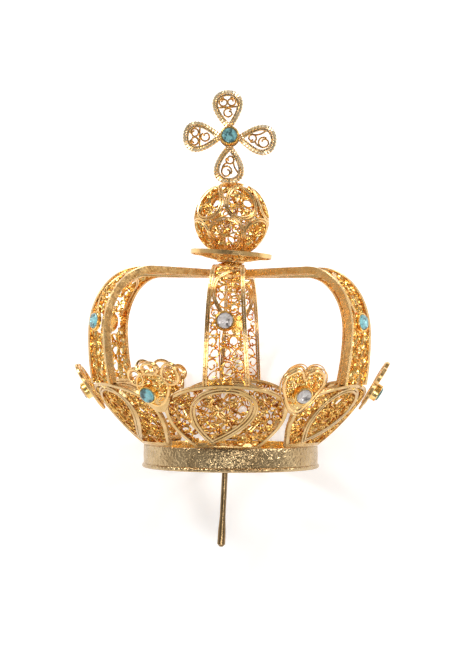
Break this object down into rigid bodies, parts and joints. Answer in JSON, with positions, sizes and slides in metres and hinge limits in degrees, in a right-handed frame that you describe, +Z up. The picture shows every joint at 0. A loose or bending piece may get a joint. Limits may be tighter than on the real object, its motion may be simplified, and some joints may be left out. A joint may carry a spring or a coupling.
{
  "type": "statue crown",
  "caption": "Gilt filigree crown for a small statue, with a band, petals, arches, florets, glass stones, a globe, a cross and a pin below",
  "frame": {"origin": "middle of the box that holds the crown, on the surface on which it lies", "axes": "+Z up; +Y towards the cross end of the crown, +X to the right seen from the front"},
  "size_m": [0.0624, 0.0782, 0.0567],
  "materials": {
    "gilt_filigree": "gilt, polished wire and strip",
    "pale_gilt": "pale gilt, polished and lightly dimpled sheet",
    "blue_glass": "cut and polished aqua glass",
    "clear_glass": "cut and polished clear glass"
  },
  "bodies": {
    "root": {"band": "pale_gilt", "crossbar": "pale_gilt", "pin": "pale_gilt", "petal_1": "gilt_filigree", "petal_2": "gilt_filigree", "petal_3": "gilt_filigree", "petal_4": "gilt_filigree", "petal_5": "gilt_filigree", "petal_6": "gilt_filigree", "arch_1": "gilt_filigree", "arch_2": "gilt_filigree", "arch_3": "gilt_filigree", "arch_4": "gilt_filigree", "arch_5": "gilt_filigree", "arch_6": "gilt_filigree", "floret_1": "gilt_filigree", "floret_2": "gilt_filigree", "floret_3": "gilt_filigree", "floret_4": "gilt_filigree", "floret_5": "gilt_filigree", "floret_6": "gilt_filigree", "arch_cup_1": "gilt_filigree", "arch_stone_1": "clear_glass", "arch_cup_2": "gilt_filigree", "arch_stone_2": "blue_glass", "arch_cup_3": "gilt_filigree", "arch_stone_3": "clear_glass", "arch_cup_4": "gilt_filigree", "arch_stone_4": "blue_glass", "arch_cup_5": "gilt_filigree", "arch_stone_5": "clear_glass", "arch_cup_6": "gilt_filigree", "arch_stone_6": "blue_glass", "floret_cup_1": "gilt_filigree", "floret_stone_1": "clear_glass", "floret_cup_2": "gilt_filigree", "floret_stone_2": "blue_glass", "floret_cup_3": "gilt_filigree", "floret_stone_3": "clear_glass", "floret_cup_4": "gilt_filigree", "floret_stone_4": "blue_glass", "floret_cup_5": "gilt_filigree", "floret_stone_5": "clear_glass", "floret_cup_6": "gilt_filigree", "floret_stone_6": "blue_glass", "neck": "gilt_filigree", "saucer": "gilt_filigree", "globe": "gilt_filigree", "cross": "gilt_filigree", "cross_cup": "gilt_filigree", "cross_stone": "blue_glass"}
  },
  "joints": []
}
